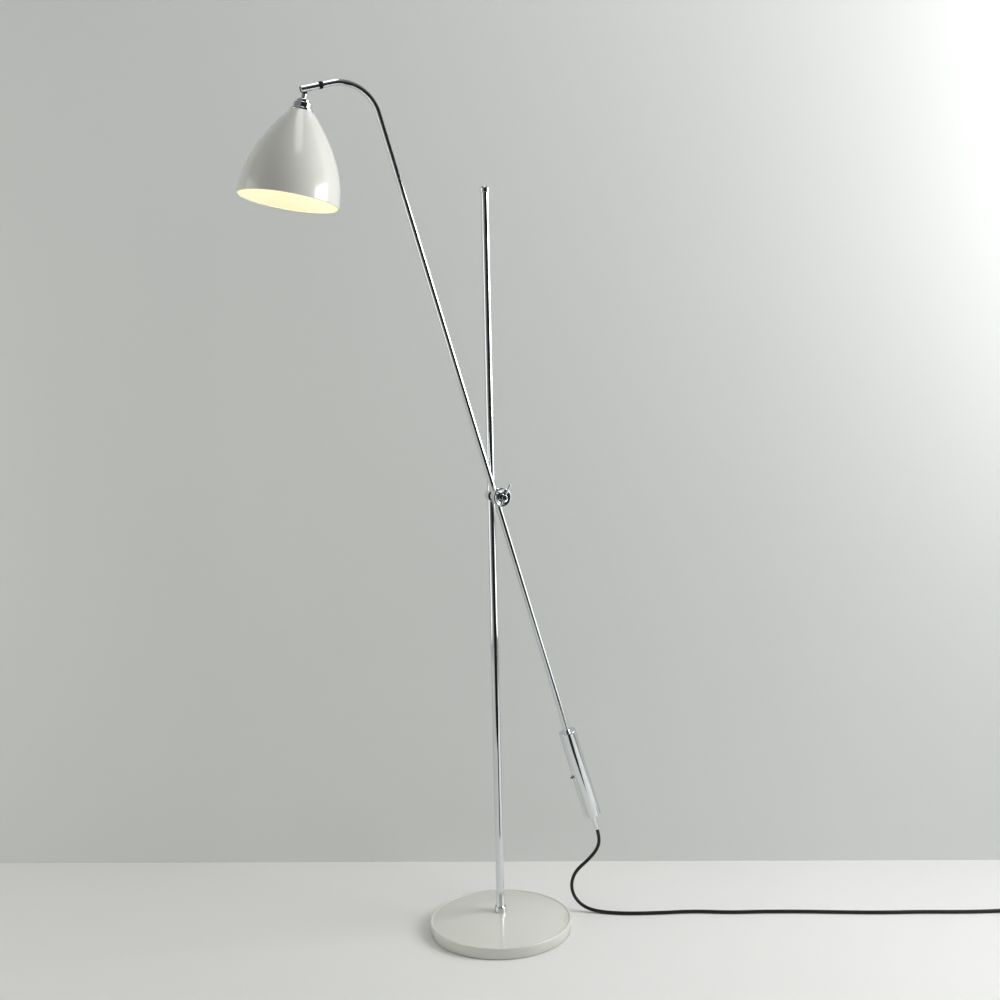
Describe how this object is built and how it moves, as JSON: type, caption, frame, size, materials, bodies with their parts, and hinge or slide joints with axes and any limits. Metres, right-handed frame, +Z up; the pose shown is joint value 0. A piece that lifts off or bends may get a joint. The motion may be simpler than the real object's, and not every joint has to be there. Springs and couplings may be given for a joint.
{
  "type": "adjustable arm floor lamp",
  "caption": "Floor lamp with a weighted round base, an upright stem and a clamped sliding arm that carries a bell shade above and a counterweight below.",
  "frame": {"origin": "centre of the base's underside, on the floor", "axes": "+Z up along the stem; the arm leans towards -X at its head and +X at its counterweight; the clamp's knob faces -Y"},
  "size_m": [1.3431, 0.5447, 1.3315],
  "materials": {
    "cream_paint": "gloss",
    "cream_shade": "gloss",
    "cast_iron": "rough",
    "black_felt": "matt",
    "plated_steel": "satin",
    "chrome": "polished",
    "chrome_weight": "polished",
    "black_lead": "satin",
    "black_plastic": "satin",
    "brass": "polished",
    "nylon": "matt",
    "dark_metal": "satin",
    "ceramic": "matt",
    "bulb_glass": "frosted"
  },
  "bodies": {
    "base": {"base_cover": "cream_paint", "base_weight": "cast_iron", "base_pad": "black_felt", "stud_washer": "plated_steel", "stud_nut": "plated_steel", "stem_stud": "plated_steel", "stem_tube": "chrome", "stem_collar": "chrome", "stem_cap": "chrome", "cord_lead": "black_lead", "cord_coil": "black_lead", "coil_tie": "black_plastic", "cord_tail": "black_lead", "plug_relief": "black_plastic", "plug_body": "black_plastic", "plug_pins": "brass"},
    "stem_sleeve": {"stem_bush": "nylon"},
    "clamp": {"clamp_barrel": "chrome", "clamp_shoe": "brass", "swivel_ring": "chrome"},
    "eye": {"arm_eye": "chrome"},
    "knob": {"clamp_screw": "chrome", "clamp_knob": "chrome"},
    "bar": {"tommy_bar": "chrome", "bar_stops": "chrome"},
    "arm_sleeve": {"arm_bush": "nylon"},
    "arm": {"arm_tube": "chrome", "arm_flex": "black_lead", "arm_spigot": "plated_steel", "lock_ring": "dark_metal", "counterweight": "chrome_weight", "weight_screw": "plated_steel", "weight_end_plug": "chrome", "cord_outlet": "chrome", "cord_inside": "black_lead", "outlet_nut": "brass", "switch_body": "black_plastic", "switch_nut": "chrome"},
    "switch": {"switch_lever": "dark_metal"},
    "knuckle": {"knuckle_housing": "chrome", "knuckle_pin": "plated_steel"},
    "head": {"neck": "chrome", "holder_cap": "chrome", "shade_collar": "chrome", "holder_body": "black_plastic", "holder_insulator": "ceramic", "shade_ring": "black_plastic", "shade": "cream_shade", "bulb_cap": "brass", "bulb_glass": "bulb_glass"}
  },
  "joints": [
    {"name": "clamp_height", "type": "slide", "parent": "base", "child": "stem_sleeve", "axis": [0, 0, 1], "range_m": [0, 0.44]},
    {"name": "clamp_swivel", "type": "hinge", "parent": "stem_sleeve", "child": "clamp", "pos_m": [0, 0, 0.695], "axis": [0, 0, 1], "range_deg": [-170, 170]},
    {"name": "arm_tilt", "type": "hinge", "parent": "clamp", "child": "eye", "pos_m": [0, -0.015, 0.695], "axis": [0, -1, 0], "range_deg": [-13, 50]},
    {"name": "arm_roll", "type": "hinge", "parent": "eye", "child": "arm_sleeve", "pos_m": [0, -0.015, 0.695], "axis": [-0.2924, 0, 0.9563], "range_deg": [-90, 90]},
    {"name": "arm_slide", "type": "slide", "parent": "arm_sleeve", "child": "arm", "axis": [-0.2924, 0, 0.9563], "range_m": [0, 0.34]},
    {"name": "head_roll", "type": "hinge", "parent": "arm", "child": "knuckle", "pos_m": [-0.26808, -0.015, 1.32046], "axis": [-0.9659, 0, -0.2588], "range_deg": [-90, 90]},
    {"name": "head_tilt", "type": "hinge", "parent": "knuckle", "child": "head", "pos_m": [-0.29406, -0.015, 1.3135], "axis": [0, 1, 0], "range_deg": [-25, 60]},
    {"name": "knob_turn", "type": "hinge", "parent": "eye", "child": "knob", "pos_m": [0, -0.03, 0.695], "axis": [0, -1, 0], "range_deg": [-45, 270]},
    {"name": "bar_slide", "type": "slide", "parent": "knob", "child": "bar", "axis": [0.4848, 0, 0.8746], "range_m": [-0.0145, 0.0045]},
    {"name": "switch_toggle", "type": "hinge", "parent": "arm", "child": "switch", "pos_m": [0.1329, -0.015, 0.22952], "axis": [0, 1, 0], "range_deg": [-8, 8]}
  ]
}
